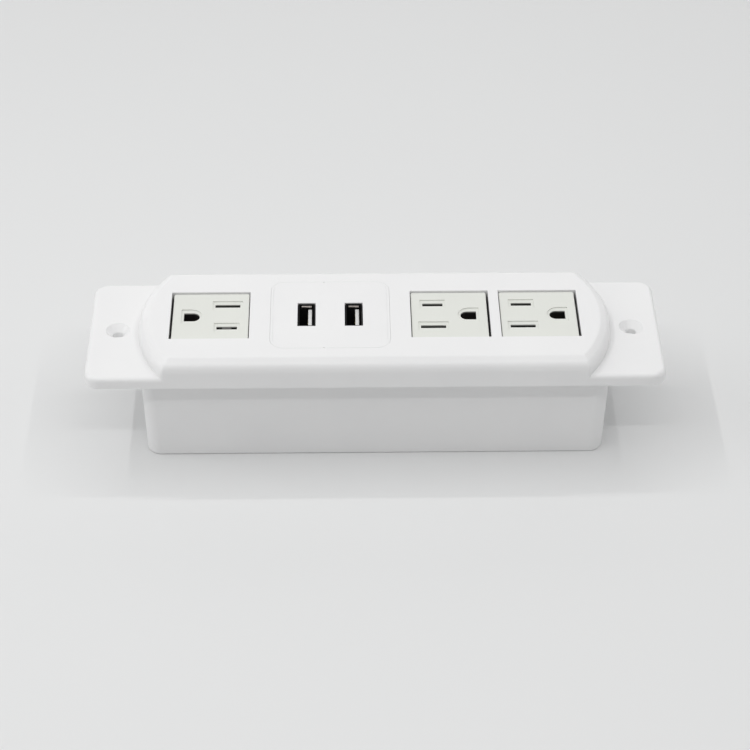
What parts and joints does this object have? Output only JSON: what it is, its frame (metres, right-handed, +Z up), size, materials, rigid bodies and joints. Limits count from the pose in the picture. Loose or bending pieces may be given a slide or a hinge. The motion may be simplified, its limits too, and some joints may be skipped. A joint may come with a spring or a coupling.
{
  "type": "desk power strip",
  "caption": "In-desk power strip: raised, D-ended faceplate with two screw flanges over a drop-in box, grounded outlets and USB-A ports.",
  "frame": {"origin": "middle of the box's flat underside, on the surface that the strip stands on", "axes": "+X along the strip, towards its pair of like outlets; +Y across it, towards the cord inlet; +Z up, out of the sockets"},
  "size_m": [0.1988, 0.0556, 0.0449],
  "materials": {
    "white_abs": "satin moulded, fine spark texture",
    "outlet_plastic": "satin moulded, warm off-white",
    "housing_plastic": "plain moulded",
    "contact_brass": "plain stamped",
    "zinc_steel": "zinc plated",
    "port_steel": "dark plated",
    "tongue_plastic": "plain moulded",
    "bushing_rubber": "matt",
    "board_resin": "solder resist",
    "ferrite": "matt sintered",
    "coil_tape": "wound tape",
    "can_sleeve": "shrunk sleeve",
    "film_case": "moulded case",
    "chip_resin": "moulded resin",
    "fuse_body": "plain tube",
    "black_wire": "extruded insulation",
    "white_wire": "extruded insulation",
    "green_wire": "extruded insulation"
  },
  "bodies": {
    "root": {"bridge_rectifier": "chip_resin", "case_screw_front_left": "zinc_steel", "case_screw_front_right": "zinc_steel", "case_screw_rear_left": "zinc_steel", "case_screw_rear_right": "zinc_steel", "controller_chip": "chip_resin", "cord_inlet_bushing": "bushing_rubber", "faceplate": "white_abs", "film_capacitor": "film_case", "fuse": "fuse_body", "ground_wire_left_to_middle": "green_wire", "ground_wire_middle_to_right": "green_wire", "hot_wire_left_to_middle": "black_wire", "hot_wire_middle_to_right": "black_wire", "input_capacitor": "can_sleeve", "left_board_screw": "zinc_steel", "left_ground_contact": "contact_brass", "left_hot_contact": "contact_brass", "left_neutral_contact": "contact_brass", "left_outlet_face": "outlet_plastic", "left_outlet_housing": "housing_plastic", "left_usb_shell": "port_steel", "left_usb_tongue": "tongue_plastic", "middle_ground_contact": "contact_brass", "middle_hot_contact": "contact_brass", "middle_neutral_contact": "contact_brass", "middle_outlet_face": "outlet_plastic", "middle_outlet_housing": "housing_plastic", "neutral_wire_left_to_middle": "white_wire", "neutral_wire_middle_to_right": "white_wire", "output_capacitor": "can_sleeve", "right_board_screw": "zinc_steel", "right_ground_contact": "contact_brass", "right_hot_contact": "contact_brass", "right_neutral_contact": "contact_brass", "right_outlet_face": "outlet_plastic", "right_outlet_housing": "housing_plastic", "right_usb_shell": "port_steel", "right_usb_tongue": "tongue_plastic", "transformer_coil": "coil_tape", "transformer_core": "ferrite", "under_box": "white_abs", "usb_circuit_board": "board_resin", "usb_hot_lead": "black_wire", "usb_neutral_lead": "white_wire", "usb_panel": "white_abs"}
  },
  "joints": []
}
